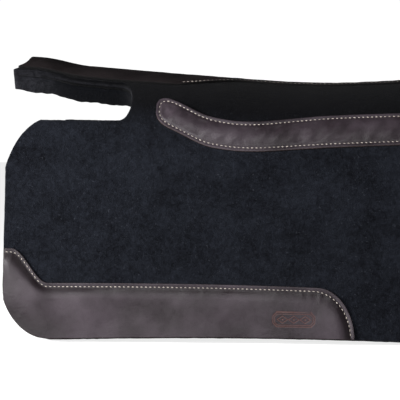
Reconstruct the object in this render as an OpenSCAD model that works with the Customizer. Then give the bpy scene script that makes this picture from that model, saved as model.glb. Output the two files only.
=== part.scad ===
// Western saddle pad: two layers of wool felt over the horse's back, with wear leathers.
// The horse's head is towards -X, the horse's left side is -Y, and the ground is z = 0.

/* [Pad] */
// Length from the front edge to the rear edge
pad_len = 800; // [740:1:840]
// Height of the spine above the ground at its lowest point
spine_h = 324; // [306:1:342]
// Thickness of the top layer of felt
top_t = 10; // [8:0.5:12]
// Thickness of the base layer of felt
base_t = 20; // [16:0.5:22]

/* [Curve over the back] */
// Width of felt that bends from the spine to the flat of one side
bend_len = 171; // [160:1:180]
// Slope of the flat of each side
side_slope = 82; // [80:0.5:84]
// Rise of the spine towards the front, per millimetre
front_rise = 0.084; // [0.06:0.002:0.1]
// Rise of the spine towards the rear, per millimetre
rear_rise = 0.06; // [0.04:0.005:0.08]
// Length over which the dip in the spine is rounded
dip_round = 60; // [40:5:90]
// Extra lift of the wither tongue at its front end
tongue_lift = 6; // [0:1:12]
// Height of the bottom edge's shallow arch
arch_lift = 4; // [0:1:8]

/* [Wither tongue and notches] */
// Half width of the tongue, along the felt
tongue_half = 64; // [58:1:70]
// Distance along the felt from the spine to a notch's lower edge, at its inner end
notch_low = 129; // [124:1:134]
// Depth of a notch from the front edge
notch_depth = 159; // [140:1:170]
// How far the middle of the tongue's front edge is set back
tongue_setback = 17; // [8:1:24]
// Width of the tongue's rounded front corners
tongue_corner = 2.5; // [2:0.5:12]

/* [Corners] */
// How far the front edge of a side is set back from the tongue's
side_setback = 3; // [0:0.5:6]
// Length of a side's upper front corner
upper_corner_x = 46; // [40:1:60]
// Height of a side's upper front corner, along the felt
upper_corner_s = 85; // [60:1:95]
// Length of a side's lower corners
lower_corner_x = 62; // [45:1:70]
// Height of a side's lower corners, along the felt
lower_corner_s = 80; // [50:1:90]

/* [Leathers] */
// Thickness of the wear leathers
leather_t = 3; // [2:0.25:4]
// Half length of the upper wear leather
upper_half_len = 209; // [190:1:220]
// Half width of the upper wear leather
upper_half_w = 22.5; // [20:0.5:25]
// Distance along the felt from the spine to the middle of the upper wear leather
upper_s = 124.5; // [120:0.5:128]
// How far the upper wear leather dips in front of its middle
upper_dip = 13.5; // [0:0.5:18]
// Rear end of the lower wear leather
lower_end_x = 43; // [20:1:80]
// Height of the lower wear leather at its front, along the felt
lower_h = 71; // [60:1:80]
// Height that the lower wear leather loses towards its rear
lower_fall = 8.5; // [0:0.5:14]
// Extra height of the lower wear leather at the front edge
lower_front_h = 42; // [30:1:50]
// Half width of the spine leather over the wither tongue
spine_front_w = 59; // [50:1:60]
// Half width of the spine leather behind the withers
spine_rear_w = 22; // [18:1:30]

/* [Stitching] */
// Distance from a leather's edge to its stitching
stitch_inset = 4.5; // [3.5:0.5:7]
// Width of a stitching thread
thread_w = 1.1; // [0.8:0.1:1.6]

/* [Flex lines] */
// Distance along the felt from the spine to a flex line
flex_s = 84; // [82:1:86]
// How far a side closes from rest, in degrees
close_deg = 10; // [6:1:12]
// Gap between the crown and a side at full closing
flex_gap = 0.6; // [0.5:0.1:1]

/* [Hidden] */

half_len = pad_len / 2;
bend_r = bend_len * 180 / (PI * side_slope);
felt_t = top_t + base_t;
layer_gap = 0.2;                // between the two felt layers
leather_gap = 0.8;              // between a leather and the felt under it
thread_gap = 0.3;               // between a thread and its leather
thread_h = 0.8;                 // height of a thread
edge_inset = 2;                 // from the felt's edge to a leather's edge
bottom_inset = 1;               // from the felt's bottom edge to the lower wear leather
cut_over = 10;                  // how far a cutter runs past what it cuts
lift_from = half_len - 95;      // the tongue's extra lift starts this far in front of the middle
lift_over = 60;
arch_end_x = 162;               // rear end of the bottom edge's arch
side_front_x = -half_len + side_setback;
notch_end_x = -half_len + notch_depth;
notch_round = 22;               // depth of a notch's rounded inner end
notch_end_power = 0.6;          // 1 makes that end round, and less makes it blunter
tongue_front_power = 6;         // how sharply the tongue's front edge turns at its corners
side_start_over = 40;           // length over which a side's top edge drops to the notch
side_start_gap = 9;             // from a flex line to the first full row of a side
spine_narrow_over = 110;        // length over which the spine leather narrows
spine_stitch_start = 20;        // from the start of that narrowing to the stitching
upper_dip_x = -105;             // deepest point of the upper wear leather's dip
upper_dip_len = 75;
upper_waist = 2.5;              // half width that the upper wear leather loses at its dip
upper_rise_x = 135;             // both ends of the upper wear leather rise from here
upper_rise_len = 75;
upper_front_rise = 17;
upper_rear_rise = 6;
upper_end_power = 2.6;          // 2 makes the ends round, and more makes them blunter
lower_front_flat = 14;          // length of the lower wear leather's high front end
lower_curve = 46;               // length of the curves at its two ends

// The hinge of each side lies above the felt all along the flex line.
axis_y = across(flex_s);
axis_z = max([for (x = [notch_end_x - notch_round, half_len]) spine_z(x) - drop(flex_s)]) + 1;

long_steps = 28;
across_steps = 8;

// ---- shape of the felt's outer surface ----

function ramp(v) = let (t = min(1, max(0, v))) t * t * (3 - 2 * t);
function mix(a, b, t) = a + (b - a) * t;
function quarter(v) = 1 - sqrt(max(0, 1 - pow(min(1, max(0, v)), 2)));
function chamfer(v) = mix(min(1, max(0, v)), quarter(v), 0.75);
function eased(u) = mix(u, (1 - cos(180 * u)) / 2, 0.6);

function slope(s) = side_slope * min(1, abs(s) / bend_len);
function across(s) = bend_r * sin(slope(s)) + max(0, abs(s) - bend_len) * cos(side_slope);
function drop(s) = bend_r * (1 - cos(slope(s))) + max(0, abs(s) - bend_len) * sin(side_slope);
function spine_z(x) =
    spine_h + (x < 0 ? front_rise : rear_rise) * (sqrt(x * x + dip_round * dip_round) - dip_round)
    + tongue_lift * ramp((-x - lift_from) / lift_over);

// Point at x along the pad, s along the felt from the spine, and n out from the surface
function pad_point(x, s, n) =
    [x, sign(s) * (across(s) + n * sin(slope(s))), spine_z(x) - drop(s) + n * cos(slope(s))];

// Edges of one side, as distances along the felt at x
function bottom_z(x) =
    let (start_x = lower_corner_x - half_len)
    arch_lift * sin(180 * min(1, max(0, (x - start_x) / (arch_end_x - start_x))));
function bottom_flat(x) =
    bend_len + (spine_z(x) - drop(bend_len) - felt_t * cos(side_slope) - bottom_z(x)) / sin(side_slope);
function bottom_s(x) =
    bottom_flat(x) - lower_corner_s * quarter((abs(x) - half_len + lower_corner_x) / lower_corner_x);
function notch_low_s(x) = notch_low + max(0, spine_z(x) - spine_z(notch_end_x)) / sin(side_slope);
function top_s(x) =
    x > -half_len + upper_corner_x
        ? mix(flex_s, notch_low_s(x), ramp((notch_end_x - notch_round - x) / side_start_over))
        : notch_low_s(x) + upper_corner_s * chamfer((-x - half_len + upper_corner_x) / upper_corner_x);
function tongue_front_x(s) =
    -half_len
    + tongue_setback * (1 - pow(min(1, abs(s) / tongue_half), tongue_front_power))
    + tongue_corner * quarter((abs(s) - tongue_half + tongue_corner) / tongue_corner);

// ---- solids from grids of points ----

// Closed slab: p(u, v, k) gives its points, with k = 0 outside and k = 1 inside
module slab(nu, nv, p) {
    w = nv + 1;
    in0 = (nu + 1) * w;
    pts = [for (k = [0, 1]) for (i = [0:nu]) for (j = [0:nv]) p(i / nu, j / nv, k)];
    outside = [for (i = [0:nu - 1]) for (j = [0:nv - 1])
        let (a = i * w + j) each [[a, a + 1, a + w + 1], [a, a + w + 1, a + w]]];
    inside = [for (t = outside) [t[0] + in0, t[2] + in0, t[1] + in0]];
    ends = [for (j = [0:nv - 1]) for (i = [0, nu])
        let (a = i * w + j, b = a + 1, t = [[a, a + in0, b + in0], [a, b + in0, b]])
        each i == 0 ? t : [for (f = t) [f[0], f[2], f[1]]]];
    sides = [for (i = [0:nu - 1]) for (j = [0, nv])
        let (a = i * w + j, b = a + w, t = [[a, b, b + in0], [a, b + in0, a + in0]])
        each j == 0 ? t : [for (f = t) [f[0], f[2], f[1]]]];
    polyhedron(points = pts, faces = concat(outside, inside, ends, sides));
}

// Thread along a row: path(u) gives [x, s] on the leather
module thread(steps, path) {
    slab(steps, 1, function (u, v, k)
        let (
            du = 0.5 / steps,
            ahead = path(min(1, u + du)) - path(max(0, u - du)),
            q = path(u) + (v - 0.5) * thread_w * [-ahead[1], ahead[0]] / norm(ahead)
        )
        pad_point(q[0], q[1], leather_gap + leather_t + thread_gap + (1 - k) * thread_h));
}

// Removes both notches from the layers that they cut
module notch() {
    slab(6, 20, function (u, v, k)
        let (
            end_x = notch_end_x - notch_round * (1 - pow(sin(180 * v), notch_end_power)),
            x = mix(-half_len - cut_over, end_x, u),
            s = mix(tongue_half, notch_low_s(x), (1 - cos(180 * v)) / 2)
        )
        pad_point(x, s, k == 0 ? cut_over : -felt_t - cut_over));
}

// ---- felt ----

// One layer of the crown, between depths a and b under the outer surface
module crown_layer(a, b) {
    difference() {
        slab(long_steps, 2 * across_steps, function (u, v, k)
            let (s = mix(-flex_s, flex_s, v))
            pad_point(mix(tongue_front_x(s), half_len, eased(u)), s, k == 0 ? -a : -b));
        notch();
        mirror([0, 1, 0])
            notch();
    }
}

// Point of the crown's cut edge, turned clear of the side's closing swing
function swung_edge(x, n) =
    let (
        c = pad_point(x, flex_s, n),
        y = c[1] - axis_y,
        z = c[2] - axis_z,
        a = close_deg
    )
    [x, axis_y + flex_gap + y * cos(a) - z * sin(a), axis_z + y * sin(a) + z * cos(a)];

// One layer of the right side, between depths a and b under the outer surface
module side_layer(a, b) {
    difference() {
        slab(long_steps, 2 * across_steps, function (u, v, k)
            let (
                x = mix(side_front_x, half_len, eased(u)),
                n = k == 0 ? -a : -b,
                on_flex = top_s(x) == flex_s,
                start = top_s(x) + (on_flex ? side_start_gap : 0)
            )
            v == 0 && on_flex ? swung_edge(x, n) : pad_point(x, mix(start, bottom_s(x), v), n));
        notch();
    }
}

module crown_top_felt() {
    color("#1d2024")
        crown_layer(0, top_t);
}

module crown_base_felt() {
    color("#2a2d33")
        crown_layer(top_t + layer_gap, felt_t);
}

module top_felt() {
    color("#22252a")
        side_layer(0, top_t);
}

module base_felt() {
    color("#2f333a")
        side_layer(top_t + layer_gap, felt_t);
}

// ---- leathers and their stitching ----

function spine_w(x) = mix(spine_front_w, spine_rear_w, ramp((x + half_len / 2) / spine_narrow_over));

module spine_leather() {
    color("#3b3431")
        slab(long_steps, across_steps, function (u, v, k)
            let (
                side = 2 * v - 1,
                front = tongue_front_x(side * spine_front_w) + edge_inset,
                x = mix(front, half_len - edge_inset, eased(u))
            )
            pad_point(x, side * spine_w(x), leather_gap + (1 - k) * leather_t));
}

module spine_stitching() {
    color("#c8b89c")
        for (side = [-1, 1])
            thread(long_steps, function (u)
                let (x = mix(-half_len / 2 + spine_stitch_start, half_len - 4 * edge_inset, u))
                [x, side * (spine_w(x) - stitch_inset)]);
}

// Middle line of the upper wear leather, which dips and then swings up to its front end
function upper_mid(x) =
    upper_s + upper_dip * exp(-pow((x - upper_dip_x) / upper_dip_len, 2))
    - upper_front_rise * ramp((-x - upper_rise_x) / upper_rise_len)
    - upper_rear_rise * ramp((x - upper_rise_x) / upper_rise_len);
function upper_half(x, inset) =
    let (
        r = upper_half_w - inset,
        end = max(0, abs(x) - upper_half_len + upper_half_w) / r,
        waist = upper_waist * exp(-pow((x - upper_dip_x) / upper_dip_len, 2))
    )
    (r - waist) * pow(max(0.001, 1 - pow(end, upper_end_power)), 1 / upper_end_power);

module upper_leather() {
    color("#4a4140")
        slab(44, 3, function (u, v, k)
            let (x = mix(-upper_half_len, upper_half_len, (1 - cos(180 * u)) / 2))
            pad_point(x, upper_mid(x) + (2 * v - 1) * upper_half(x, 0), leather_gap + (1 - k) * leather_t));
}

module upper_stitching() {
    end = upper_half_len - stitch_inset;
    color("#c8b89c")
        thread(72, function (u)
            let (
                turn = 360 * mix(0.003, 0.997, u),
                x = -end * cos(turn),
                side = turn < 180 ? -1 : 1
            )
            [x, upper_mid(x) + side * upper_half(x, stitch_inset)]);
}

// Upper edge of the lower wear leather, moved in by inset
function lower_top(x, inset) =
    let (
        rear = lower_end_x - inset,
        fall = lower_fall * (x + half_len) / (lower_end_x + half_len),
        front = lower_front_h * (1 - ramp((x + half_len - lower_front_flat) / lower_curve)),
        high = lower_h - inset - fall + front
    )
    bottom_flat(x) - max(2 * edge_inset, high * (1 - quarter((x - rear + lower_curve) / lower_curve)));

module lower_leather() {
    color("#4a4140")
        slab(44, 4, function (u, v, k)
            let (
                x = mix(side_front_x + edge_inset, lower_end_x, (1 - cos(180 * u)) / 2),
                s = mix(lower_top(x, 0), bottom_s(x) - bottom_inset, v)
            )
            pad_point(x, s, leather_gap + (1 - k) * leather_t));
}

module lower_stitching() {
    front = side_front_x + edge_inset;
    color("#c8b89c")
        thread(56, function (u)
            let (x = mix(front, lower_end_x - stitch_inset, sin(90 * u)))
            [x, lower_top(x, stitch_inset)]);
}

module left() {
    mirror([0, 1, 0])
        children();
}

crown_top_felt();
crown_base_felt();
spine_leather();
spine_stitching();
left() top_felt();  // left_top_felt
left() base_felt();  // left_base_felt
left() upper_leather();  // left_upper_leather
left() lower_leather();  // left_lower_leather
left() upper_stitching();  // left_upper_stitching
left() lower_stitching();  // left_lower_stitching
top_felt();  // right_top_felt
base_felt();  // right_base_felt
upper_leather();  // right_upper_leather
lower_leather();  // right_lower_leather
upper_stitching();  // right_upper_stitching
lower_stitching();  // right_lower_stitching
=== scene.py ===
"""Western saddle pad: two layers of wool felt over the horse's back, with wear leathers.

Metres. The horse's head is towards -X, the horse's left side is -Y, and the floor is z = 0.
"""

import math

import bmesh
import bpy
from mathutils import Matrix, Vector, kdtree, noise
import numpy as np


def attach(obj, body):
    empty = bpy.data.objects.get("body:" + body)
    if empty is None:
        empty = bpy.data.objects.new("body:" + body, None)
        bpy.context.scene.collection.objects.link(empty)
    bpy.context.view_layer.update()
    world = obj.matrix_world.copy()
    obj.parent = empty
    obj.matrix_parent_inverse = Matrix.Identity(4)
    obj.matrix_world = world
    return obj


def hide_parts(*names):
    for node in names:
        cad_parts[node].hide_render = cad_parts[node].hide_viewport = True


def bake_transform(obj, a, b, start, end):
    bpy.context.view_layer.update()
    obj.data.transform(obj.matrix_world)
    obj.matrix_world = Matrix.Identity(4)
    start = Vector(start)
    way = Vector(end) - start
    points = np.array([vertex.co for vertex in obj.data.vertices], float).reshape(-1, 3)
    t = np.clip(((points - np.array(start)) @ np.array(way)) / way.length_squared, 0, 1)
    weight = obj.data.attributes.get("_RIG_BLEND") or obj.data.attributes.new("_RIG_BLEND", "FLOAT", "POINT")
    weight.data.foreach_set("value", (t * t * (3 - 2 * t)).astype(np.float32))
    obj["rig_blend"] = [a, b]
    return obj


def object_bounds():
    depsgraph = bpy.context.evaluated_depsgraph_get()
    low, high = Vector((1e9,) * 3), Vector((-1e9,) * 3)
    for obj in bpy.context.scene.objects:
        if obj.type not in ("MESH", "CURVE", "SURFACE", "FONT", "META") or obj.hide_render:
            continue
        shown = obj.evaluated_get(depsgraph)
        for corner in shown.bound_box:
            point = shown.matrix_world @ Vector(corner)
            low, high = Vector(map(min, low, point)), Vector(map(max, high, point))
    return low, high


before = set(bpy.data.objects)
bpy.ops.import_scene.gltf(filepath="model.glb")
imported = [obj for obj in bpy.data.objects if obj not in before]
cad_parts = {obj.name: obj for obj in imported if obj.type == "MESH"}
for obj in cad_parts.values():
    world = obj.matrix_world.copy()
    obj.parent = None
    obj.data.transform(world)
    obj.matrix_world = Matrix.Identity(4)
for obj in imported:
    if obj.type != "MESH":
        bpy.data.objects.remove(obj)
cad_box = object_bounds()
noise.seed_set(7)               # noise_vector starts from the clock unless it is given a seed

MM = 0.001
SIDES = {"left": -1, "right": 1}

# ---- sizes of the pad, as the CAD model has them ----

HALF_LEN = cad_box[1][0]
SPINE_H = 324 * MM              # height of the spine at its lowest point
BEND_LEN = 171 * MM             # felt that bends from the spine to the flat of a side
SIDE_SLOPE = math.radians(82)
BEND_R = BEND_LEN / SIDE_SLOPE
FRONT_RISE = 0.084
REAR_RISE = 0.06
DIP_ROUND = 60 * MM
TONGUE_LIFT = 6 * MM
LIFT_FROM = HALF_LEN - 95 * MM
LIFT_OVER = 60 * MM
ARCH_LIFT = 4 * MM
ARCH_END = 162 * MM
TOP_T = 10 * MM
FELT_T = 30 * MM

TONGUE_HALF = 64 * MM
TONGUE_SETBACK = 17 * MM
TONGUE_CORNER = 2.5 * MM
TONGUE_FRONT_POWER = 6          # how sharply its front edge turns at the corners
NOTCH_LOW = 129 * MM
NOTCH_ROUND = 22 * MM
NOTCH_END = -HALF_LEN + 159 * MM
NOTCH_BLUNT = 0.6              # 1 would make the notch end round
SIDE_FRONT = -HALF_LEN + 3 * MM
UPPER_CORNER = (46 * MM, 85 * MM)
LOWER_CORNER = (62 * MM, 80 * MM)

LEATHER_T = 3 * MM
LEATHER_GAP = 0.1 * MM          # between the felt and a leather's back
LEATHER_ROUND = 0.5 * MM
EDGE_INSET = 2 * MM
BOTTOM_INSET = 0.4 * MM
STITCH_INSET = 4.5 * MM
STITCH_PITCH = 5.5 * MM
UPPER_END = 209 * MM
UPPER_HALF_W = 22.5 * MM
UPPER_BLUNT = 2.6               # 2 would make round ends
UPPER_S = 124.5 * MM            # its middle line, along the felt from the spine
UPPER_DIP = 13.5 * MM
UPPER_DIP_BACK = 105 * MM
UPPER_DIP_LEN = 75 * MM
UPPER_WAIST = 2.5 * MM
UPPER_RISE_FROM = 135 * MM
UPPER_RISE_LEN = 75 * MM
UPPER_FRONT_RISE = 17 * MM
UPPER_REAR_RISE = 6 * MM
LOWER_END = 43 * MM
LOWER_H = 71 * MM
LOWER_FALL = 8.5 * MM
LOWER_FRONT_H = 42 * MM
LOWER_FRONT_FLAT = 14 * MM
LOWER_CURVE = 46 * MM
SPINE_FRONT_W = 59 * MM
SPINE_REAR_W = 22 * MM
SPINE_NARROWS_OVER = 110 * MM

# ---- shape of the felt's outer surface ----


def ramp(value):
    """0 up to 0, 1 from 1, and smooth between."""
    t = min(1, max(0, value))
    return t * t * (3 - 2 * t)


def mix(a, b, t):
    return a + (b - a) * t


def quarter(value):
    """Drop of a quarter circle, from 0 at 0 to 1 at 1."""
    return 1 - math.sqrt(max(0, 1 - min(1, max(0, value)) ** 2))


def chamfer(value):
    """Like quarter(), with a straighter middle and a sharper start."""
    return mix(min(1, max(0, value)), quarter(value), 0.75)


def slope(s):
    return SIDE_SLOPE * min(1, abs(s) / BEND_LEN)


def across(s):
    return BEND_R * math.sin(slope(s)) + max(0, abs(s) - BEND_LEN) * math.cos(SIDE_SLOPE)


def drop(s):
    return BEND_R * (1 - math.cos(slope(s))) + max(0, abs(s) - BEND_LEN) * math.sin(SIDE_SLOPE)


def spine_z(x):
    rise = FRONT_RISE if x < 0 else REAR_RISE
    return (
        SPINE_H
        + rise * (math.hypot(x, DIP_ROUND) - DIP_ROUND)
        + TONGUE_LIFT * ramp((-x - LIFT_FROM) / LIFT_OVER)
    )


def swell(x, s):
    """Slow waves of the soft felt, which every layer on it follows."""
    wide = noise.noise(Vector((x * 9, s * 11, 2.7)))
    close = noise.noise(Vector((x * 26, s * 30, 8.1)))
    fade = ramp(abs(s) / (60 * MM))
    return (1.6 * wide + 0.5 * close) * MM * fade


def lay(x, s, n=0.0):
    """Point on the pad: x along it, s along the felt from the spine, n out from the felt."""
    a = slope(s)
    lift = n + swell(x, s)
    y = math.copysign(across(s) + lift * math.sin(a), s)
    return Vector((x, y, spine_z(x) - drop(s) + lift * math.cos(a)))


def outward(s):
    a = slope(s)
    return Vector((0, math.copysign(math.sin(a), s), math.cos(a)))


def bottom_z(x):
    """Height of the bottom edge's shallow arch."""
    start = LOWER_CORNER[0] - HALF_LEN
    return ARCH_LIFT * math.sin(math.pi * min(1, max(0, (x - start) / (ARCH_END - start))))


def bottom_flat(x):
    fall = spine_z(x) - drop(BEND_LEN) - FELT_T * math.cos(SIDE_SLOPE) - bottom_z(x)
    return BEND_LEN + fall / math.sin(SIDE_SLOPE)


def bottom_s(x):
    return bottom_flat(x) - LOWER_CORNER[1] * quarter((abs(x) - HALF_LEN) / LOWER_CORNER[0] + 1)


def notch_low_s(x):
    return NOTCH_LOW + max(0, spine_z(x) - spine_z(NOTCH_END)) / math.sin(SIDE_SLOPE)


def tongue_front(s):
    back = TONGUE_SETBACK * (1 - min(1, abs(s) / TONGUE_HALF) ** TONGUE_FRONT_POWER)
    return -HALF_LEN + back + TONGUE_CORNER * quarter((abs(s) - TONGUE_HALF) / TONGUE_CORNER + 1)


# ---- mesh helpers ----


def eased(t, amount=0.6):
    """Closer steps at both ends."""
    return mix(t, (1 - math.cos(math.pi * t)) / 2, amount)


def where(curve, level):
    """Value from 0 to 1 at which a rising curve reaches level."""
    low, high = 0.0, 1.0
    for _ in range(24):
        middle = (low + high) / 2
        low, high = (middle, high) if curve(middle) < level else (low, middle)
    return high


def flat_grid(columns, rows, place, keep=None):
    """Grid whose vertices carry x and s from place(i, j); keep(i, j) drops cells."""
    bm = bmesh.new()
    bmesh.ops.create_grid(bm, x_segments=columns, y_segments=rows, size=1)
    xs = bm.verts.layers.float.new("x")
    ss = bm.verts.layers.float.new("s")
    for v in bm.verts:
        i = round((v.co.x + 1) / 2 * columns)
        j = round((v.co.y + 1) / 2 * rows)
        v[xs], v[ss] = place(i, j)
    if keep:
        cells = []
        for f in bm.faces:
            c = f.calc_center_median()
            if not keep(int((c.x + 1) / 2 * columns), int((c.y + 1) / 2 * rows)):
                cells.append(f)
        bmesh.ops.delete(bm, geom=cells, context="FACES")
    return bm, xs, ss


def thicken(bm, xs, ss, side, outer, inner, wall_cuts, round_r, ragged=0.0, rounded=(True, True)):
    """Turns a flat grid into a slab on the pad, from height outer(x, s) to inner(x, s).

    Its cut edge is the second material, rounded by round_r along its (outer, inner) rims.
    """
    depths = bm.verts.layers.float.new("depth")
    grown = bmesh.ops.extrude_face_region(bm, geom=bm.faces[:])["geom"]
    above = {v for v in grown if isinstance(v, bmesh.types.BMVert)}
    for v in bm.verts:
        v[depths] = 0 if v in above else 1
        height = outer if v in above else inner
        v.co = lay(v[xs], v[ss], height(v[xs], v[ss]))
        v.co.y *= side
    walls = [f for f in bm.faces if len({v in above for v in f.verts}) == 2]
    for f in walls:
        f.material_index = 1
    borders = [e for e in bm.edges if len({f.material_index for f in e.link_faces}) == 2]
    rim = [e for e in borders if rounded[0 if e.verts[0] in above else 1]]
    posts = [e for e in bm.edges if (e.verts[0] in above) != (e.verts[1] in above)]
    bmesh.ops.subdivide_edges(bm, edges=posts, cuts=wall_cuts, use_grid_fill=True)
    bmesh.ops.bevel(
        bm, geom=rim, offset=round_r, segments=3, profile=0.5, affect="EDGES", material=-1
    )
    bmesh.ops.recalc_face_normals(bm, faces=bm.faces[:])
    if ragged:
        for v in {v for f in bm.faces if f.material_index == 1 for v in f.verts}:
            v.co += ragged * noise.noise_vector(v.co / (7 * MM))
            v.co += ragged * 0.5 * noise.noise_vector(v.co / (2.5 * MM))


def finish_mesh(bm, name, materials):
    mesh = bpy.data.meshes.new(name)
    bm.to_mesh(mesh)
    bm.free()
    piece = bpy.data.objects.new(name, mesh)
    bpy.context.scene.collection.objects.link(piece)
    for material in materials:
        mesh.materials.append(material)
    mesh.shade_smooth()
    return piece


# ---- materials ----


class Value:
    """A socket that takes part in an expression, which adds its Math nodes."""

    def __init__(self, finish, socket):
        self.finish = finish
        self.socket = socket

    def calc(self, operation, *others):
        return self.finish.node("ShaderNodeMath", {"operation": operation}, dict(enumerate(others)))

    def __add__(self, other):
        return self.calc("ADD", self, other)

    def __radd__(self, other):
        return self.calc("ADD", other, self)

    def __sub__(self, other):
        return self.calc("SUBTRACT", self, other)

    def __rsub__(self, other):
        return self.calc("SUBTRACT", other, self)

    def __mul__(self, other):
        return self.calc("MULTIPLY", self, other)

    def __rmul__(self, other):
        return self.calc("MULTIPLY", other, self)

    def __pow__(self, other):
        return self.calc("POWER", self, other)

    def between(self, low, high):
        """0 below low, 1 above high, and smooth between."""
        settings = {"interpolation_type": "SMOOTHSTEP"}
        values = {"Value": self, "From Min": low, "From Max": high}
        return self.finish.node("ShaderNodeMapRange", settings, values)


class Nodes:
    """A shader node tree, whose nodes all come from node()."""

    def __init__(self, owner, space):
        owner.use_nodes = True
        self.tree = owner.node_tree
        self.tree.nodes.clear()
        self.where = self.node("ShaderNodeTexCoord", out=space)

    def node(self, kind, settings=None, values=None, out=0):
        made = self.tree.nodes.new(kind)
        for key, setting in (settings or {}).items():
            setattr(made, key, setting)
        for key, value in (values or {}).items():
            if isinstance(value, Value):
                self.tree.links.new(value.socket, made.inputs[key])
            else:
                made.inputs[key].default_value = value
        return None if out is None else Value(self, made.outputs[out])

    def blend(self, amount, a, b):
        """Colour a where amount is 0, b where it is 1."""
        values = {0: amount, 6: a, 7: b}
        return self.node("ShaderNodeMix", {"data_type": "RGBA"}, values, out=2)


class Sky(Nodes):
    """Light from all round the studio."""

    def __init__(self, world):
        super().__init__(world, "Generated")

    def light(self, color, strength):
        shade = self.node("ShaderNodeBackground", None, {"Color": color, "Strength": strength})
        self.node("ShaderNodeOutputWorld", None, {"Surface": shade}, out=None)


class Finish(Nodes):
    """One material on a Principled shader."""

    def __init__(self, name):
        self.material = bpy.data.materials.new(name)
        super().__init__(self.material, "Object")

    def grain(self, size, detail=2.0, roughness=0.5, distortion=0.0, stretch=None):
        """Noise whose features are about size metres across."""
        where = self.where
        if stretch:
            where = self.node("ShaderNodeMapping", None, {"Vector": where, "Scale": stretch})
        values = {"Vector": where, "Scale": 1 / size, "Detail": detail}
        values.update({"Roughness": roughness, "Distortion": distortion})
        return self.node("ShaderNodeTexNoise", None, values)

    def cells(self, size, feature="DISTANCE_TO_EDGE"):
        values = {"Vector": self.where, "Scale": 1 / size, "Randomness": 1.0}
        return self.node("ShaderNodeTexVoronoi", {"feature": feature}, values)

    def attribute(self, name):
        return self.node("ShaderNodeAttribute", {"attribute_name": name}, out="Fac")

    def done(self, color, roughness, height, depth, constants):
        """height is a value from 0 to 1, and depth its size in metres."""
        bump = self.node("ShaderNodeBump", None, {"Height": height, "Distance": depth, "Strength": 1.0})
        values = {"Base Color": color, "Roughness": roughness, "Normal": bump}
        values.update(constants)
        shader = self.node("ShaderNodeBsdfPrincipled", None, values)
        self.node("ShaderNodeOutputMaterial", None, {"Surface": shader}, out=None)
        return self.material


def wool_felt(name, dark, light, fleck_and_highlight, cut=0.0):
    """Pressed wool: matted fibres, small clouds of lighter wool and stray grey flecks, with painted shade
    near the spine and in the crease between the layers, and painted highlights on the cut edges.
    """
    f = Finish(name)
    clouds = f.grain(45 * MM, 4, 0.6).between(0.3, 0.72)
    mottle = f.grain(7 * MM, 5, 0.72, 0.6).between(0.34, 0.68)
    along = f.grain(1.5 * MM, 3, 0.7, 1.2, (0.35, 1, 1))
    upright = f.grain(1.5 * MM, 3, 0.7, 1.2, (1, 1, 0.35))
    fibres = (along * upright * 3.4).between(0.45, 1.35)
    tone = clouds * 0.3 + mottle * 0.34 + fibres * 0.36
    stray = f.grain(2.4 * MM, 2, 0.6).between(0.66, 0.74)
    # painted shade: the felt near the spine, whose top faces up, is darkened in its colour as if less light
    # reached it
    crown = 1 - f.attribute("s").between(95 * MM, 150 * MM)
    # painted light: highlights on the cut edges and shade in the crease between the felt layers
    edge_light_and_shade = f.attribute("cut_edge_light_and_shade")
    dyed_with_painted_shade = f.blend(crown * 0.95 + edge_light_and_shade.between(0, -1) * 0.9, f.blend(tone, dark, light), dark)
    # the stray flecks are the wool's own; the rest is a painted highlight on the cut edges
    flecks_and_painted_highlight = stray * 0.35 + edge_light_and_shade.between(0, 1) * (0.15 + mottle * 0.35) * cut
    color = f.blend(flecks_and_painted_highlight, dyed_with_painted_shade, fleck_and_highlight)
    height = mottle * 0.5 + fibres * 0.5
    constants = {"Sheen Weight": 0.01, "Sheen Roughness": 0.6, "Specular IOR Level": 0.0}
    return f.done(color, 0.96 - fibres * 0.06, height, 0.7 * MM, constants)


def smooth_leather(name, dark, light, tool_tint, roughness, gloss):
    """Top-grain leather: fine pebbled grain, creases, uneven dye and a waxed surface, with painted shade
    along the inside of the stitch rows and in the lower leather's front corner.
    """
    f = Finish(name)
    dye = f.grain(70 * MM, 2, 0.5).between(0.28, 0.72)
    patches = f.grain(16 * MM, 5, 0.68, 0.6).between(0.36, 0.66)
    pebbles = f.cells(1.1 * MM).between(0.0, 0.22)
    pores = f.grain(0.9 * MM, 2, 0.5).between(0.3, 0.7)
    veins = f.grain(9 * MM, 6, 0.62, 1.4).between(0.44, 0.5)
    mottle = dye * 0.66 + patches * 0.14 + pebbles * 0.14 + veins * 0.06
    # painted shade: darker along the inside of the stitch rows and in the lower leather's front corner
    tone = mottle * (1 - f.attribute("painted_shade"))
    color = f.blend(f.attribute("tooled") * 0.75, f.blend(tone, dark, light), tool_tint)
    height = pebbles * 0.5 + pores * 0.3 + veins * 0.2
    rough = roughness + patches * 0.1 - pebbles * 0.05
    constants = {"Specular IOR Level": gloss}
    return f.done(color, rough, height, 0.12 * MM, constants)


def raw_edge(name, dark, light):
    """Cut edge of leather: compressed fibres in thin layers."""
    f = Finish(name)
    fibres = f.grain(1.2 * MM, 4, 0.7).between(0.3, 0.7)
    color = f.blend(fibres, dark, light)
    return f.done(color, 0.75 + fibres * 0.15, fibres, 0.2 * MM, {"Specular IOR Level": 0.05})


def waxed_thread(name, dark, light):
    """Twisted nylon thread with a trace of wax and dirt."""
    f = Finish(name)
    soil = f.grain(16 * MM, 3, 0.6).between(0.35, 0.75)
    values = {"Vector": f.where, "Scale": 900.0, "Distortion": 1.5, "Detail": 1.0}
    twist = f.node("ShaderNodeTexWave", {"bands_direction": "DIAGONAL"}, values, out="Fac")
    color = f.blend(soil * 0.6 + twist * 0.25, light, dark)
    return f.done(color, 0.55 + soil * 0.2, twist, 0.15 * MM, {"Sheen Weight": 0.15})


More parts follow.
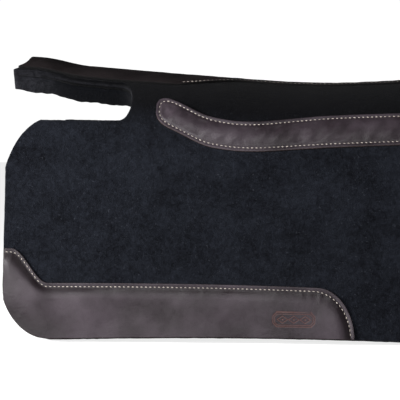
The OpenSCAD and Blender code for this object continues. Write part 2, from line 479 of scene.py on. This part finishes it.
def plain_floor():
    f = Finish("studio_floor")
    dust = f.grain(0.4, 3).between(0.3, 0.7)
    color = f.blend(dust, (0.3, 0.3, 0.3, 1), (0.33, 0.33, 0.33, 1))
    constants = {"Specular IOR Level": 0.0, "Emission Color": (1, 1, 1, 1), "Emission Strength": 0.8}
    return f.done(color, 0.8 + dust * 0.05, dust, 0.02 * MM, constants)


TOP_FELT = wool_felt(
    "black_wool_felt",
    dark=(0.0006, 0.0006, 0.0009, 1), light=(0.0062, 0.0071, 0.0098, 1), fleck_and_highlight=(0.028, 0.03, 0.036, 1),
)
TOP_CUT = wool_felt(
    "black_wool_felt_cut_edge",
    dark=(0.0006, 0.0006, 0.0008, 1), light=(0.004, 0.0043, 0.0056, 1), fleck_and_highlight=(0.022, 0.022, 0.027, 1),
    cut=1.0,
)
BASE_FELT = wool_felt(
    "charcoal_wool_felt",
    dark=(0.002, 0.0022, 0.003, 1), light=(0.01, 0.011, 0.014, 1), fleck_and_highlight=(0.03, 0.033, 0.038, 1),
)
BASE_CUT = wool_felt(
    "charcoal_wool_felt_cut_edge",
    dark=(0.001, 0.0011, 0.0015, 1), light=(0.0062, 0.0066, 0.0084, 1), fleck_and_highlight=(0.022, 0.022, 0.0265, 1),
    cut=1.0,
)
WEAR_LEATHER = smooth_leather(
    "espresso_wear_leather",
    dark=(0.0032, 0.0018, 0.0024, 1), light=(0.0228, 0.0175, 0.0217, 1), tool_tint=(0.045, 0.014, 0.009, 1),
    roughness=0.4, gloss=0.12,
)
WEAR_EDGE = raw_edge("espresso_leather_raw_edge", (0.008, 0.005, 0.0045, 1), (0.035, 0.024, 0.022, 1))
SPINE_LEATHER = smooth_leather(
    "black_brown_spine_leather",
    dark=(0.0034, 0.0028, 0.003, 1), light=(0.0098, 0.0079, 0.0082, 1), tool_tint=(0.02, 0.012, 0.01, 1),
    roughness=0.65, gloss=0.02,
)
SPINE_EDGE = raw_edge("spine_leather_raw_edge", (0.0006, 0.0006, 0.0007, 1), (0.0025, 0.0023, 0.0024, 1))
CREAM_THREAD = waxed_thread("cream_waxed_thread", (0.05, 0.04, 0.032, 1), (0.19, 0.165, 0.14, 1))


# ---- felt ----

FRONT_COLUMNS = 36              # in front of the notch's inner end
LONG_COLUMNS = 136              # behind it
TONGUE_ROWS = 16
NOTCH_ROWS = 26
SIDE_ROWS = 60
BASE_COARSENESS = 0.7           # grid of the base felt, which is mostly hidden
GLUE_GAP = 0.2 * MM
CUT_LOOPS = 3                   # loops of vertices across a cut edge of felt
CUT_ROUND = 1.2 * MM
CUT_RAGGED = 0.45 * MM
FLEX_FROM = 68 * MM             # the felt's bend at a flex line, along the felt
FLEX_TO = 145 * MM


def felt_pattern(scale):
    """Column and row counts of a felt half, and where its grid lies on the flat pattern."""
    counts = (FRONT_COLUMNS, LONG_COLUMNS, TONGUE_ROWS, NOTCH_ROWS, SIDE_ROWS)
    front, long, tongue, notch, low = (max(4, round(count * scale)) for count in counts)

    def row(j, x):
        if j <= tongue:
            return TONGUE_HALF * j / tongue
        if j <= tongue + notch:
            t = (1 - math.cos(math.pi * (j - tongue) / notch)) / 2
            return mix(TONGUE_HALF, notch_low_s(x), t)
        return mix(notch_low_s(x), bottom_flat(x), eased((j - tongue - notch) / low))

    def ends(j):
        """x of the front edge, of the notch's inner end and of the rear edge in row j."""
        inner = NOTCH_END - NOTCH_ROUND
        if j <= tongue:
            return tongue_front(row(j, 0)), inner, HALF_LEN
        if j < tongue + notch:
            bulge = math.sin(math.pi * (j - tongue) / notch) ** NOTCH_BLUNT
            return None, NOTCH_END - NOTCH_ROUND * (1 - bulge), HALF_LEN
        at = HALF_LEN - LOWER_CORNER[0]
        down = row(j, -at) - notch_low_s(-at)
        up = bottom_flat(-at) - row(j, -at)
        lower = LOWER_CORNER[0] * quarter(1 - up / LOWER_CORNER[1])
        upper = UPPER_CORNER[0] * (1 - where(chamfer, down / UPPER_CORNER[1]))
        return max(SIDE_FRONT, -HALF_LEN + max(lower, upper)), inner, HALF_LEN - lower

    limits = [ends(j) for j in range(tongue + notch + low + 1)]

    def place(i, j):
        fore, inner, rear = limits[j]
        if i <= front:
            x = inner if fore is None else mix(fore, inner, i / front)
        else:
            t = (i - front) / long
            x = mix(inner, rear, mix(t, math.sin(t * math.pi / 2), 0.5))
        return x, row(j, x)

    def keep(i, j):
        return i >= front or j < tongue or j >= tongue + notch

    return front + long, tongue + notch + low, place, keep


def tongue_splay(x, s):
    """How far the base felt of the tongue's edge has worked loose downwards."""
    edge = ramp((s - TONGUE_HALF) / (10 * MM) + 1) * ramp((NOTCH_LOW - 10 * MM - s) / (30 * MM))
    along = ramp((NOTCH_END - x) / (12 * MM)) * ramp((x + HALF_LEN - 6 * MM) / (22 * MM))
    wave = 0.5 * noise.noise(Vector((x * 45, 0.4, 3.1)))
    wave += 0.7 * noise.noise(Vector((x * 150, 2.2, 7.7)))
    return edge * along * (2.8 * MM + 2.4 * MM * wave)


def cut_edge_light_and_shade(layer, x, s, depth):
    """Painted light and shade on the cut felt, from -1, painted shade in the crease between the layers, to
    1, a painted highlight on the front, along the middle of the top felt's cut face and at the notch's end.
    """
    # painted highlight on the front cut edges, which face the key light
    tip = 1 - ramp((x + HALF_LEN - 22 * MM) / (70 * MM))
    band = 1 - abs(2 * depth - 0.9)
    # painted highlight along the middle of the top felt's cut face, and painted shade in the crease at the
    # glue line of both layers
    along = 0.9 * band - 0.35 if layer == "top" else -0.6 * (1 - ramp(depth / 0.5))
    # painted highlight on the notch's end, which turns towards the light; the same mask also greys the cut
    # edges further back
    end = ramp((x - NOTCH_END + 8 * MM) / (6 * MM)) * ramp((s - TONGUE_HALF - 8 * MM) / (12 * MM))
    return max(0.5 * tip, along, 0.9 * end)


def felt_half(side_name, layer, depth, thickness, materials, scale):
    """One layer of felt from the spine seam to a side's bottom edge, in one piece."""
    bm, xs, ss = flat_grid(*felt_pattern(scale))
    thicken(
        bm, xs, ss, SIDES[side_name], lambda x, s: -depth, lambda x, s: -depth - thickness,
        CUT_LOOPS, CUT_ROUND, CUT_RAGGED, rounded=(layer == "top", layer == "base"),
    )
    depths = bm.verts.layers.float["depth"]
    # painted light and shade of the cut edges, kept on each vertex
    edge_lights = bm.verts.layers.float.new("cut_edge_light_and_shade")
    for v in bm.verts:
        v[edge_lights] = cut_edge_light_and_shade(layer, v[xs], v[ss], v[depths])
        if v[ss] < 1e-6:
            v.co.y = 0
        if layer == "base":
            loose = tongue_splay(v[xs], v[ss])
            v.co.z -= v[depths] * loose
            v.co.y -= SIDES[side_name] * (1 - v[depths]) * 0.5 * abs(loose)
    piece = finish_mesh(bm, f"{side_name}_{layer}_felt_half", materials)
    return bend_at_flex(piece, side_name)


def bend_at_flex(piece, side_name):
    """The piece follows the crown at the spine and turns into the side's swing below it."""
    side = SIDES[side_name]
    start = lay(0, FLEX_FROM)
    end = lay(0, FLEX_TO)
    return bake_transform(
        piece, "crown", f"{side_name}_side", (0, side * start.y, start.z), (0, side * end.y, end.z)
    )


# ---- outlines of the leathers on the flat pattern ----


def spine_w(x):
    return mix(SPINE_FRONT_W, SPINE_REAR_W, ramp((x + HALF_LEN / 2) / SPINE_NARROWS_OVER))


def upper_dip(x):
    return math.exp(-(((x + UPPER_DIP_BACK) / UPPER_DIP_LEN) ** 2))


def upper_mid(x):
    front = UPPER_FRONT_RISE * ramp((-x - UPPER_RISE_FROM) / UPPER_RISE_LEN)
    rear = UPPER_REAR_RISE * ramp((x - UPPER_RISE_FROM) / UPPER_RISE_LEN)
    return UPPER_S + UPPER_DIP * upper_dip(x) - front - rear


def upper_half(x, inset=0.0):
    r = UPPER_HALF_W - inset
    end = max(0, abs(x) - UPPER_END + UPPER_HALF_W) / r
    width = r - UPPER_WAIST * upper_dip(x)
    return width * max(0.001, 1 - end**UPPER_BLUNT) ** (1 / UPPER_BLUNT)


def lower_top(x, inset=0.0):
    fall = LOWER_FALL * (x + HALF_LEN) / (LOWER_END + HALF_LEN)
    front = LOWER_FRONT_H * (1 - ramp((x + HALF_LEN - LOWER_FRONT_FLAT) / LOWER_CURVE))
    curve = 1 - quarter((x - LOWER_END + inset) / LOWER_CURVE + 1)
    return bottom_flat(x) - max(2 * EDGE_INSET, (LOWER_H - inset - fall + front) * curve)


def upper_edge(t, inset=0.0):
    """Point at t from 0 to 1 round the upper wear leather's outline, moved in by inset."""
    turn = 2 * math.pi * t
    x = -(UPPER_END - inset) * math.cos(turn)
    return x, upper_mid(x) + (-1 if t < 0.5 else 1) * upper_half(x, inset)


def lower_edge(t, inset=0.0):
    """Point at t along the sewn edge of the lower wear leather, from its front end."""
    x = mix(SIDE_FRONT + EDGE_INSET, LOWER_END - inset, math.sin(t * math.pi / 2))
    return x, lower_top(x, inset)


def spine_edge(t, inset=0.0):
    """Point at t along one sewn edge of the spine leather, behind the withers."""
    x = mix(-HALF_LEN / 2 + 20 * MM, HALF_LEN - 8 * MM, t)
    return x, spine_w(x) - inset


FINE_STEPS = 4000


def even_points(edge, inset, pitch):
    """Points about pitch apart along an edge, each with the direction of the edge there."""
    fine = [Vector((*edge(k / FINE_STEPS, inset), 0)) for k in range(FINE_STEPS + 1)]
    lengths = [0.0]
    for a, b in zip(fine, fine[1:]):
        lengths.append(lengths[-1] + (b - a).length)
    count = round(lengths[-1] / pitch)
    points = []
    k = 0
    for step in range(count):
        target = (step + 0.5) * lengths[-1] / count
        while lengths[k + 1] < target:
            k += 1
        points.append((fine[k].lerp(fine[k + 1], 0.5), (fine[k + 1] - fine[k]).normalized()))
    return points


EDGE_PITCH = 1 * MM             # between the points that gaps to an edge are measured from
ROW_DEPTH = 0.9 * MM
ROW_HALF_W = 1.6 * MM
PUCKER_HEIGHT = 0.5 * MM


class Sewn:
    """Height of a leather that is sewn near its edge: flat margin, drawn-down row, soft swell.

    folds and waves are the heights of its close slanting folds and of its slow waves, and
    row_shade says how dark the painted shadow along the inside of the row is, from 0 to 1.
    A mirrored leather has the same edge on both sides of the spine.
    """

    def __init__(self, edge, swell_height, folds, waves, seed, row_shade, mirrored=False):
        self.row_shade = row_shade
        self.mirrored = mirrored
        points = even_points(edge, 0, EDGE_PITCH)
        self.tree = kdtree.KDTree(len(points))
        for index, (point, _) in enumerate(points):
            self.tree.insert(point, index)
        self.tree.balance()
        self.swell_height = swell_height
        self.folds = folds
        self.waves = waves
        self.seed = seed

    def nearest(self, x, s):
        """Number of the nearest point of the edge, and the gap to it."""
        _, index, gap = self.tree.find(Vector((x, abs(s) if self.mirrored else s, 0)))
        return index, gap

    def painted_shade(self, x, s):
        """How dark the painted shadow is just inside the stitches' row, from 0 to 1."""
        _, gap = self.nearest(x, s)
        band = ramp((gap - 3 * MM) / (2 * MM)) * (1 - ramp((gap - 8 * MM) / (9 * MM)))
        return self.row_shade * band

    def __call__(self, x, s):
        if self.mirrored:
            s = abs(s)
        index, gap = self.nearest(x, s)
        row = -ROW_DEPTH * math.exp(-(((gap - STITCH_INSET) / ROW_HALF_W) ** 2))
        inside = ramp((gap - STITCH_INSET) / (15 * MM))
        swollen = self.swell_height * inside * (1 - 0.5 * ramp((gap - 22 * MM) / (30 * MM)))
        tug = noise.noise(Vector((index * 0.14, gap * 50, self.seed)))
        near = ramp((gap - STITCH_INSET) / (4 * MM)) * (1 - ramp((gap - 9 * MM) / (12 * MM)))
        pucker = PUCKER_HEIGHT * tug * near
        inner = ramp((gap - 5 * MM) / (8 * MM))
        slant = noise.noise(Vector((x * 78 + s * 52, s * 20 - x * 7, self.seed)))
        slant -= 0.6 * abs(noise.noise(Vector((x * 55 + s * 70, s * 12, self.seed + 2))))
        slow = noise.noise(Vector((x * 15, s * 19, self.seed + 5)))
        return LEATHER_T + row + swollen + pucker + inner * (self.folds * slant + self.waves * slow)


FOLD_UP = 100 * MM              # start of the fold above the bottom edge, at the front
FOLD_HEIGHT = 1.7 * MM
FOLD_HALF_W = 14 * MM
CORNER_SHADE = 0.85                    # how dark the painted shade in the corner below the fold is, from 0 to 1


class SewnCorner(Sewn):
    """The lower leather: a soft fold runs down and back from its raised front corner, and the corner in
    front of and below the fold gets painted shade.
    """

    def below_fold(self, x, s):
        """How far a point is in front of and below the fold."""
        return s - bottom_flat(x) + FOLD_UP - (x - SIDE_FRONT)

    def painted_shade(self, x, s):
        fade = 1 - ramp((x - SIDE_FRONT - 60 * MM) / (50 * MM))
        # painted shade in the corner in front of and below the fold
        corner_shade = ramp((self.below_fold(x, s) - FOLD_HALF_W) / (50 * MM)) * fade
        return max(super().painted_shade(x, s), CORNER_SHADE * corner_shade)

    def __call__(self, x, s):
        back = x - SIDE_FRONT
        fade = ramp(back / (10 * MM)) * (1 - ramp((back - 35 * MM) / (60 * MM)))
        fold = FOLD_HEIGHT * fade * math.exp(-((self.below_fold(x, s) / FOLD_HALF_W) ** 2))
        return super().__call__(x, s) + fold


UPPER_HEIGHT = Sewn(
    upper_edge, swell_height=1.6 * MM, folds=1.9 * MM, waves=0.8 * MM, seed=3.3, row_shade=0.3
)
LOWER_HEIGHT = SewnCorner(
    lower_edge, swell_height=2.2 * MM, folds=0.2 * MM, waves=2.8 * MM, seed=9.4, row_shade=0.9
)
SPINE_HEIGHT = Sewn(
    spine_edge, swell_height=0.4 * MM, folds=0.4 * MM, waves=0.6 * MM, seed=5.9, row_shade=0.3,
    mirrored=True,
)


# ---- leathers ----

MARK_X = -32 * MM               # middle of the tooled mark
MARK_UP = 23.5 * MM             # above the bottom edge, along the felt
MARK_HALF = (26 * MM, 9 * MM)
MARK_DEPTH = 0.3 * MM


def tooled_mark(x, s):
    """How deep the plain tooled mark is pressed at a point, from 0 to 1.

    A long eight-sided border in a double line round a chain of three diamonds.
    """
    a = abs(x - MARK_X)
    b = abs(s - bottom_flat(x) + MARK_UP)
    corner = (a + b - MARK_HALF[0] - MARK_HALF[1] + 5 * MM) * 0.7071
    border = max(b - MARK_HALF[1], a - MARK_HALF[0], corner)
    lines = [abs(border) / (0.55 * MM), abs(border + 2.2 * MM) / (0.4 * MM)]
    for middle in (0, 14 * MM):
        diamond = abs(a - middle) / (6.4 * MM) + b / (4.4 * MM)
        lines += [abs(diamond - 1) / 0.13, diamond / 0.3]
    return max(0, 1 - min(lines) ** 2)


def leather_piece(name, side_name, grid, height, materials, marked=False):
    bm, xs, ss = flat_grid(*grid)
    tooled = bm.verts.layers.float.new("tooled")
    # painted shade of the leather, kept on each vertex
    painted_shade = bm.verts.layers.float.new("painted_shade")

    def pressed(x, s):
        return tooled_mark(x, s) if marked else 0

    for v in bm.verts:
        v[painted_shade] = height.painted_shade(v[xs], v[ss])
        v[tooled] = pressed(v[xs], v[ss])
    thicken(
        bm, xs, ss, SIDES[side_name], lambda x, s: height(x, s) - MARK_DEPTH * pressed(x, s),
        lambda x, s: LEATHER_GAP, wall_cuts=1, round_r=LEATHER_ROUND,
    )
    piece = finish_mesh(bm, name, materials)
    return piece


def spine_leather():
    """Cover of the wither tongue that narrows to a strip over the spine seam."""
    columns, rows = 220, 44

    def place(i, j):
        side = 2 * j / rows - 1
        x = mix(tongue_front(side * SPINE_FRONT_W) + EDGE_INSET, HALF_LEN - EDGE_INSET, i / columns)
        return x, side * spine_w(x)

    piece = leather_piece(
        "spine_cover_leather", "right", (columns, rows, place), SPINE_HEIGHT,
        (SPINE_LEATHER, SPINE_EDGE),
    )
    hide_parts("spine_leather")
    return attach(piece, "crown")


def upper_leather(side_name):
    columns, rows = 230, 34

    def place(i, j):
        x = -UPPER_END * math.cos(math.pi * mix(i / columns, eased(i / columns, 0.2), 0.5))
        return x, upper_mid(x) + (2 * eased(j / rows, 0.4) - 1) * upper_half(x)

    piece = leather_piece(
        f"{side_name}_upper_wear_leather", side_name, (columns, rows, place), UPPER_HEIGHT,
        (WEAR_LEATHER, WEAR_EDGE),
    )
    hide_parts(f"{side_name}_upper_leather")
    return bend_at_flex(piece, side_name)


def spread(index, stops):
    """Value at index on a line through stops of (index, value)."""
    for (i0, a), (i1, b) in zip(stops, stops[1:]):
        if index <= i1:
            return mix(a, b, (index - i0) / (i1 - i0))
    return stops[-1][1]


def lower_leather(side_name):
    """Its grid is closest where the mark is tooled and round its rear corner."""
    straight, rounded, rows = 226, 30, 70
    turn = 4 * MM
    front = SIDE_FRONT + EDGE_INSET
    mark_from = MARK_X - MARK_HALF[0] - 4 * MM
    mark_to = MARK_X + MARK_HALF[0] + 4 * MM
    long_stops = [(0, front), (24, front + 30 * MM), (110, mark_from), (216, mark_to), (straight, turn)]
    row_stops = [(0, 0.0), (18, 0.50), (62, 0.86), (rows, 1.0)]

    def place(i, j):
        if i <= straight:
            x = spread(i, long_stops)
        else:
            x = mix(turn, LOWER_END, math.sin((i - straight) / rounded * math.pi / 2))
        return x, mix(lower_top(x), bottom_s(x) - BOTTOM_INSET, spread(j, row_stops))

    piece = leather_piece(
        f"{side_name}_lower_wear_leather", side_name, (straight + rounded, rows, place),
        LOWER_HEIGHT, (WEAR_LEATHER, WEAR_EDGE), marked=True,
    )
    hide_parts(f"{side_name}_lower_leather")
    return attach(piece, f"{side_name}_side")


# ---- stitching ----

STITCH_LEN = 3.0 * MM
STITCH_W = 1.15 * MM
STITCH_SLANT = math.radians(9)
STITCH_UP = 0.25 * MM           # middle of a stitch above its leather


def stitch_rows(name, rows):
    """Every visible stitch of a leather as one piece; rows has (edge, inset, height, side)."""
    bm = bmesh.new()
    for edge, inset, height, side in rows:
        for point, along in even_points(edge, inset, STITCH_PITCH):
            x, s = point.x, point.y
            a = slope(s)
            step = Vector((along.x, along.y * math.cos(a), -along.y * math.sin(a)))
            up = outward(s)
            step = Matrix.Rotation(STITCH_SLANT, 3, up) @ step
            turn = Matrix((step.cross(up), up, step)).transposed().to_4x4()
            size = Matrix.Diagonal((STITCH_W / 2, STITCH_W / 2, STITCH_LEN / 2, 1))
            place = Matrix.Translation(lay(x, s, height(x, s) + STITCH_UP))
            mirror = Matrix.Diagonal((1, side, 1, 1))
            bmesh.ops.create_uvsphere(
                bm, u_segments=8, v_segments=5, radius=1, matrix=mirror @ place @ turn @ size
            )
    bmesh.ops.recalc_face_normals(bm, faces=bm.faces[:])
    piece = finish_mesh(bm, name, (CREAM_THREAD,))
    return piece


def spine_stitches():
    rows = [(spine_edge, STITCH_INSET, SPINE_HEIGHT, side) for side in SIDES.values()]
    piece = stitch_rows("spine_stitch_rows", rows)
    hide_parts("spine_stitching")
    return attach(piece, "crown")


def upper_stitches(side_name):
    rows = [(upper_edge, STITCH_INSET, UPPER_HEIGHT, SIDES[side_name])]
    piece = stitch_rows(f"{side_name}_upper_stitches", rows)
    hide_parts(f"{side_name}_upper_stitching")
    return bend_at_flex(piece, side_name)


def lower_stitches(side_name):
    rows = [(lower_edge, STITCH_INSET, LOWER_HEIGHT, SIDES[side_name])]
    piece = stitch_rows(f"{side_name}_lower_stitches", rows)
    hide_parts(f"{side_name}_lower_stitching")
    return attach(piece, f"{side_name}_side")


# ---- studio ----


CAMERA_PLACE = Vector((0.025, -2.5, 0.282))
CAMERA_AIM = Vector((-0.1488, -0.15, 0.1791))
CAMERA_VIEW = math.radians(11.98)
CAMERA_ROLL = math.radians(0.25)


def camera():
    """A long lens level with the notches, from the pad's left side."""
    data = bpy.data.cameras.new("studio_camera")
    data.sensor_width = 36
    data.lens = data.sensor_width / (2 * math.tan(CAMERA_VIEW / 2))
    view = bpy.data.objects.new("studio_camera", data)
    bpy.context.scene.collection.objects.link(view)
    turn = (CAMERA_AIM - CAMERA_PLACE).to_track_quat("-Z", "Y").to_matrix()
    roll = Matrix.Rotation(CAMERA_ROLL, 4, "Z")
    view.matrix_world = Matrix.Translation(CAMERA_PLACE) @ turn.to_4x4() @ roll
    bpy.context.scene.camera = view


def soft_light(name, place, aim, size, watts):
    data = bpy.data.lights.new(name, "AREA")
    data.shape = "RECTANGLE"
    data.size, data.size_y = size
    data.energy = watts
    lamp = bpy.data.objects.new(name, data)
    bpy.context.scene.collection.objects.link(lamp)
    lamp.location = place
    lamp.rotation_euler = (Vector(aim) - Vector(place)).to_track_quat("-Z", "Y").to_euler()


def studio():
    """A pale floor, air that is bright behind the pad, and two soft lights on its left."""
    bm = bmesh.new()
    bmesh.ops.create_grid(bm, x_segments=2, y_segments=2, size=9)
    floor = finish_mesh(bm, "studio_floor", (plain_floor(),))
    world = bpy.data.worlds.new("studio_air")
    world.use_nodes = True
    air = Sky(world)
    behind = air.node("ShaderNodeSeparateXYZ", None, {"Vector": air.where}, out="Y").between(0.1, 0.6)
    above = air.node("ShaderNodeSeparateXYZ", None, {"Vector": air.where}, out="Z").between(0.066, 0.11)
    dim = air.blend(above, (0.3, 0.3, 0.31, 1), (0.1, 0.1, 0.1, 1))
    bright = air.blend(above, (1.05, 1.05, 1.05, 1), (0.1, 0.1, 0.1, 1))
    air.light(air.blend(behind, dim, bright), 1.0)
    bpy.context.scene.world = world
    soft_light("key", (-1.7, -1.0, 0.5), (-0.3, -0.1, 0.2), (0.7, 0.5), 150)
    soft_light("front", (-0.75, -2.2, 1.3), (-0.1, -0.12, 0.24), (1.2, 0.6), 95)
    bpy.context.scene.view_settings.view_transform = "Standard"


# ---- the object ----

camera()
studio()
for side_name in SIDES:
    top = felt_half(side_name, "top", 0, TOP_T, (TOP_FELT, TOP_CUT), 1.0)
    base = felt_half(
        side_name, "base", TOP_T + GLUE_GAP, FELT_T - TOP_T, (BASE_FELT, BASE_CUT), BASE_COARSENESS
    )
    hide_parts("crown_top_felt", f"{side_name}_top_felt")
    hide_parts("crown_base_felt", f"{side_name}_base_felt")
    upper_leather(side_name)
    lower_leather(side_name)
    upper_stitches(side_name)
    lower_stitches(side_name)
spine_leather()
spine_stitches()
